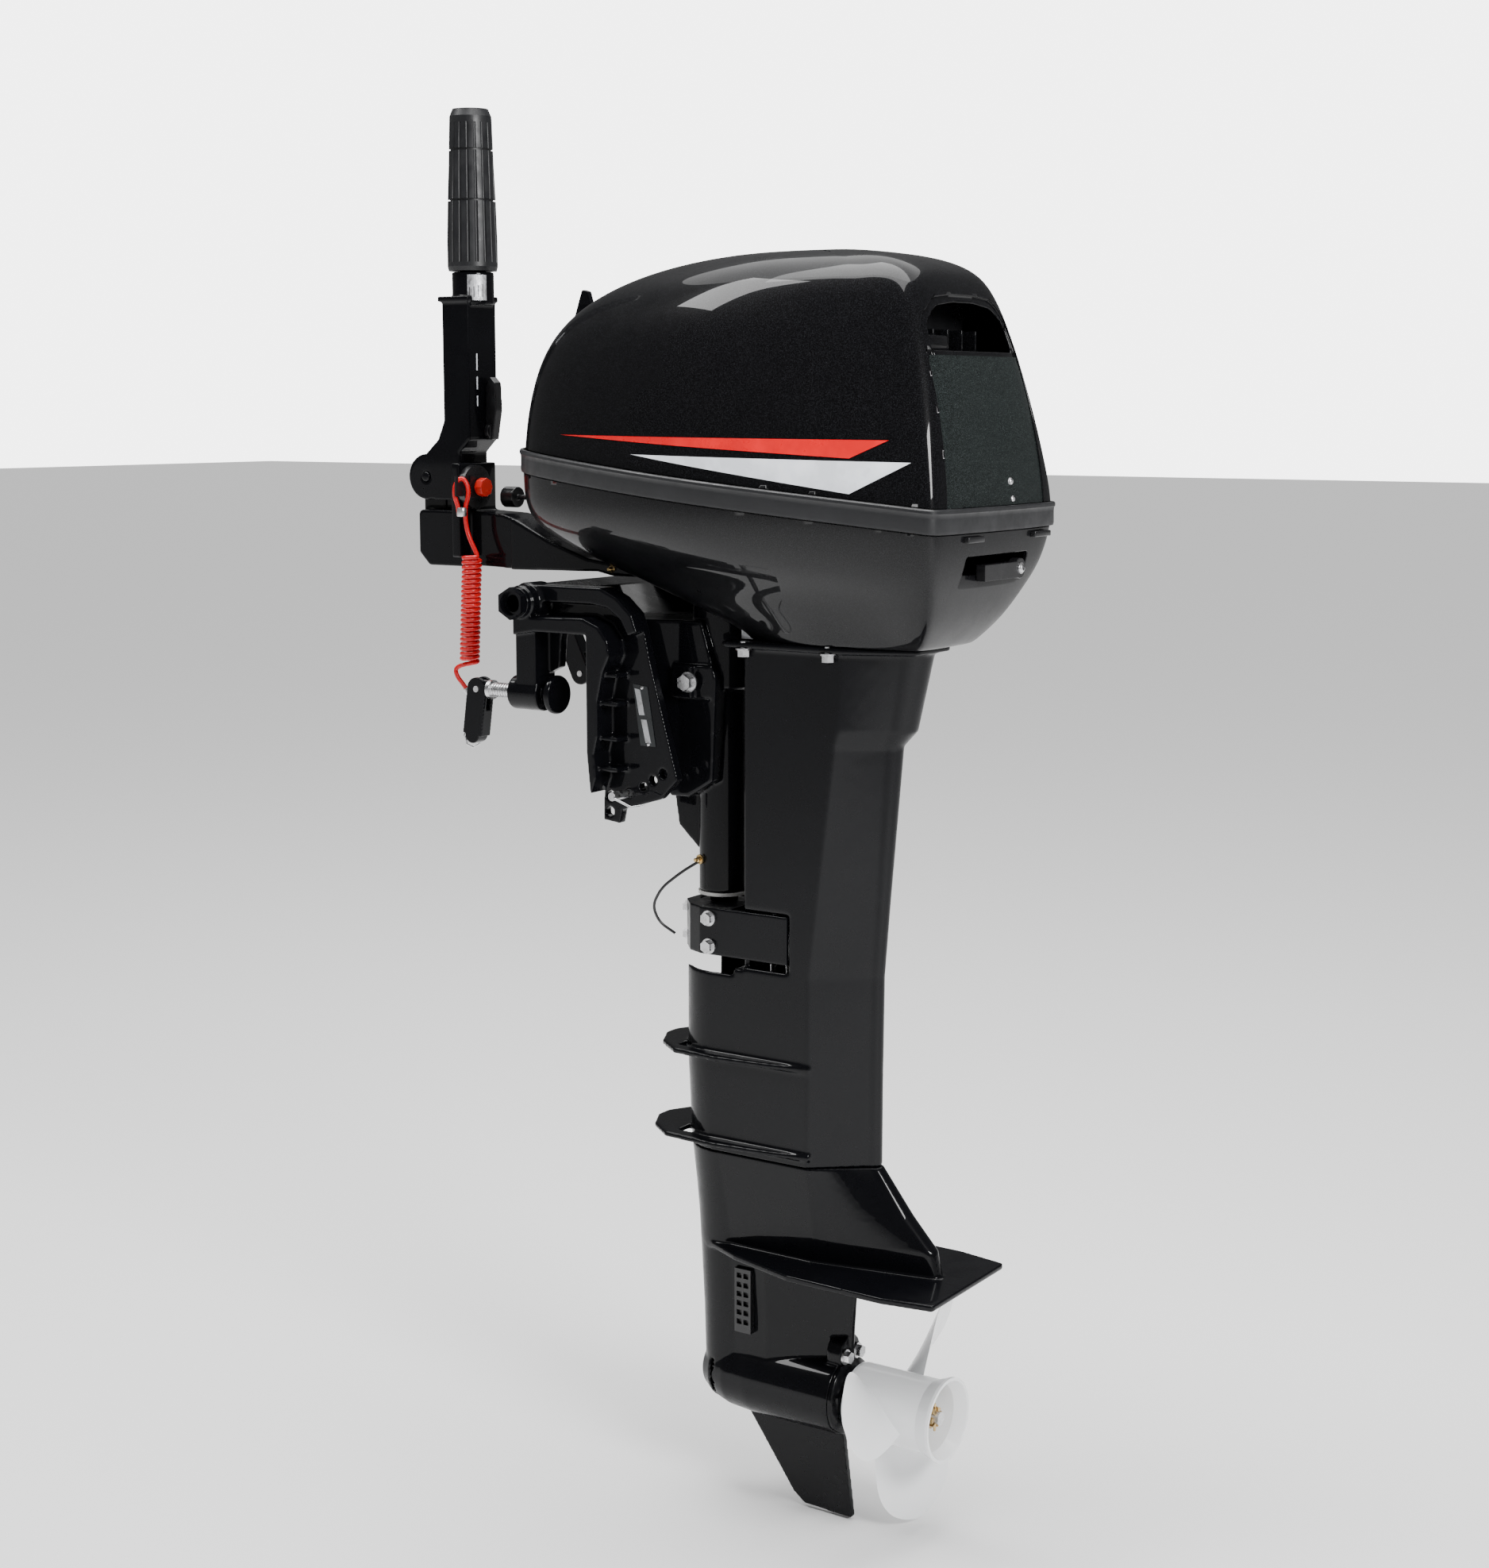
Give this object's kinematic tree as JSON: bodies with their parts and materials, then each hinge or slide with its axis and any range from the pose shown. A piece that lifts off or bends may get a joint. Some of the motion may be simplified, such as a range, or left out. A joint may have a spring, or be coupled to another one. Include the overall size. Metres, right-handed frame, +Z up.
{
  "type": "outboard motor",
  "caption": "Long-shaft portable outboard motor with clamp brackets, folded-up tiller, tilt and steering, gearcase, propeller and stop lanyard.",
  "frame": {"origin": "on the centre plane, where the underside of the clamp hooks meets the brackets' flat transom faces", "axes": "+X aft, from the transom to the propeller; +Y to starboard; +Z up along the upright leg"},
  "size_m": [0.646, 0.2711, 1.306],
  "materials": {
    "black_gloss": "gloss black paint with a fine metallic flake",
    "black_satin": "gloss black paint on cast aluminium",
    "panel_grey": "dark grey metallic paint",
    "white_paint": "gloss white paint on cast aluminium",
    "black_plastic": "moulded, fine grain",
    "white_plastic": "plain",
    "red_plastic": "gloss",
    "red_cord": "soft plastic cord",
    "black_rubber": "moulded",
    "steel": "bright",
    "copper": "bare wire",
    "brass": "turned",
    "alloy": "as cast",
    "iron": "machined"
  },
  "bodies": {
    "clamp": {"clamp_bracket_port": "black_satin", "clamp_bracket_starboard": "black_satin", "tilt_tube": "steel", "tilt_tube_nuts": "steel", "tilt_pin": "steel"},
    "pad_port": {"clamp_pad_port": "black_satin"},
    "screw_port": {"clamp_screw_port": "steel"},
    "handle_port": {"clamp_handle_port": "black_satin"},
    "pad_starboard": {"clamp_pad_starboard": "black_satin"},
    "screw_starboard": {"clamp_screw_starboard": "steel"},
    "handle_starboard": {"clamp_handle_starboard": "black_satin"},
    "swivel": {"swivel_bracket": "black_satin", "swivel_bushes": "white_plastic", "friction_bolt": "steel", "bonding_wire": "copper"},
    "steer": {"steering_bracket": "black_satin", "lower_mount_housing": "black_satin", "lower_mounts": "black_rubber", "upper_casing": "black_satin", "lower_unit": "black_satin", "casing_bolts": "steel", "bottom_cowl": "black_satin", "inlet_grilles": "black_plastic", "bearing_carrier": "black_satin", "cylinder_block": "alloy", "cylinder_head": "alloy", "spark_plugs": "steel", "pistons": "alloy", "carburettor": "alloy", "recoil_housing": "black_plastic", "water_pump_housing": "black_plastic", "stop_switch": "black_plastic"},
    "drive": {"crankshaft": "iron", "flywheel": "iron", "drive_shaft": "steel", "pump_impeller": "black_rubber", "pinion_gear": "steel"},
    "ahead": {"forward_gear": "steel"},
    "astern": {"reverse_gear": "steel"},
    "screwprop": {"propeller_shaft": "steel", "propeller": "white_paint", "propeller_nut": "brass"},
    "clutch": {"dog_clutch": "steel"},
    "cowl": {"top_cowl": "black_gloss", "cowl_seal": "black_rubber", "rear_panel": "panel_grey"},
    "latch": {"cowl_latch": "black_plastic"},
    "tiller": {"tiller_arm": "black_satin"},
    "grip": {"twist_grip": "black_rubber"},
    "friction": {"friction_lever": "black_plastic"},
    "button": {"stop_button": "red_plastic"},
    "clip": {"lock_clip": "black_plastic", "lanyard_loop": "red_cord", "lanyard_coil": "red_cord", "lanyard_tail": "red_cord", "snap_hook": "steel"},
    "shift": {"shift_lever": "black_satin"},
    "rod": {"shift_rod": "steel"},
    "choke": {"choke_knob": "black_plastic"},
    "starter": {"starter_handle": "black_plastic"}
  },
  "joints": [
    {"name": "pad_port_slide", "type": "slide", "parent": "clamp", "child": "pad_port", "axis": [1, 0, 0], "range_m": [0, 0.026]},
    {"name": "screw_port_turn", "type": "hinge", "parent": "pad_port", "child": "screw_port", "pos_m": [-0.1, -0.08, -0.059], "axis": [1, 0, 0], "range_deg": [0, 3121]},
    {"name": "pad_starboard_slide", "type": "slide", "parent": "clamp", "child": "pad_starboard", "axis": [1, 0, 0], "range_m": [0, 0.026]},
    {"name": "screw_starboard_turn", "type": "hinge", "parent": "pad_starboard", "child": "screw_starboard", "pos_m": [-0.1, 0.08, -0.059], "axis": [1, 0, 0], "range_deg": [0, 3121]},
    {"name": "handle_port_fold", "type": "hinge", "parent": "screw_port", "child": "handle_port", "pos_m": [-0.138, -0.08, -0.059], "axis": [0, 1, 0], "range_deg": [-5, 165]},
    {"name": "handle_starboard_fold", "type": "hinge", "parent": "screw_starboard", "child": "handle_starboard", "pos_m": [-0.138, 0.08, -0.059], "axis": [0, 1, 0], "range_deg": [-150, 20]},
    {"name": "tilt", "type": "hinge", "parent": "clamp", "child": "swivel", "pos_m": [-0.075, 0, 0.026], "axis": [0, -1, 0], "range_deg": [0, 68]},
    {"name": "steering", "type": "hinge", "parent": "swivel", "child": "steer", "pos_m": [0.085, 0, -0.1], "axis": [0, 0, 1], "range_deg": [-45, 45]},
    {"name": "engine_spin", "type": "hinge", "parent": "steer", "child": "drive", "pos_m": [0.16, 0, -0.2], "axis": [0, 0, 1], "continuous": true},
    {"name": "forward_gear_spin", "type": "hinge", "parent": "steer", "child": "ahead", "pos_m": [0.14, 0, -0.704], "axis": [1, 0, 0], "continuous": true},
    {"name": "reverse_gear_spin", "type": "hinge", "parent": "steer", "child": "astern", "pos_m": [0.18, 0, -0.704], "axis": [1, 0, 0], "continuous": true},
    {"name": "propeller_spin", "type": "hinge", "parent": "steer", "child": "screwprop", "pos_m": [0.278, 0, -0.704], "axis": [1, 0, 0], "continuous": true},
    {"name": "clutch_slide", "type": "slide", "parent": "screwprop", "child": "clutch", "axis": [1, 0, 0], "range_m": [-0.0045, 0.0045]},
    {"name": "shift_lever_swing", "type": "hinge", "parent": "steer", "child": "shift", "pos_m": [-0.085, 0.1, 0.096], "axis": [0, 1, 0], "range_deg": [-15, 15]},
    {"name": "shift_rod_slide", "type": "slide", "parent": "steer", "child": "rod", "axis": [0, 0, 1], "range_m": [-0.0045, 0.0045]},
    {"name": "cowl_lift", "type": "slide", "parent": "steer", "child": "cowl", "axis": [0, 0, 1], "range_m": [0, 0.3]},
    {"name": "latch_turn", "type": "hinge", "parent": "steer", "child": "latch", "pos_m": [0.36, 0.045, 0.066], "axis": [1, 0, 0], "range_deg": [0, 60]},
    {"name": "tiller_fold", "type": "hinge", "parent": "steer", "child": "tiller", "pos_m": [-0.252, 0, 0.136], "axis": [0, -1, 0], "range_deg": [0, 90]},
    {"name": "throttle_turn", "type": "hinge", "parent": "tiller", "child": "grip", "pos_m": [-0.206, 0, 0.4], "axis": [0, 0, 1], "range_deg": [0, 100]},
    {"name": "throttle_friction", "type": "hinge", "parent": "tiller", "child": "friction", "pos_m": [-0.192, 0.008, 0.18], "axis": [1, 0, 0], "range_deg": [-30, 30]},
    {"name": "stop_press", "type": "slide", "parent": "steer", "child": "button", "axis": [-1, 0, 0], "range_m": [0, 0.002], "stiffness_N_per_m": 800},
    {"name": "clip_pull", "type": "slide", "parent": "steer", "child": "clip", "axis": [0, -1, 0], "range_m": [0, 0.025]},
    {"name": "choke_pull", "type": "slide", "parent": "steer", "child": "choke", "axis": [-1, 0, 0], "range_m": [0, 0.012]},
    {"name": "starter_pull", "type": "slide", "parent": "steer", "child": "starter", "axis": [-1, 0, 0], "range_m": [0, 0.15]}
  ],
  "couplings": [
    {"joint": "screw_port_turn", "follows": "pad_port_slide", "rad_per_m": 2094.4},
    {"joint": "screw_starboard_turn", "follows": "pad_starboard_slide", "rad_per_m": 2094.4},
    {"joint": "forward_gear_spin", "follows": "engine_spin", "ratio": 0.48148},
    {"joint": "reverse_gear_spin", "follows": "engine_spin", "ratio": -0.48148},
    {"joint": "clutch_slide", "follows": "shift_lever_swing", "m_per_rad": -0.017},
    {"joint": "shift_rod_slide", "follows": "shift_lever_swing", "m_per_rad": 0.017}
  ]
}
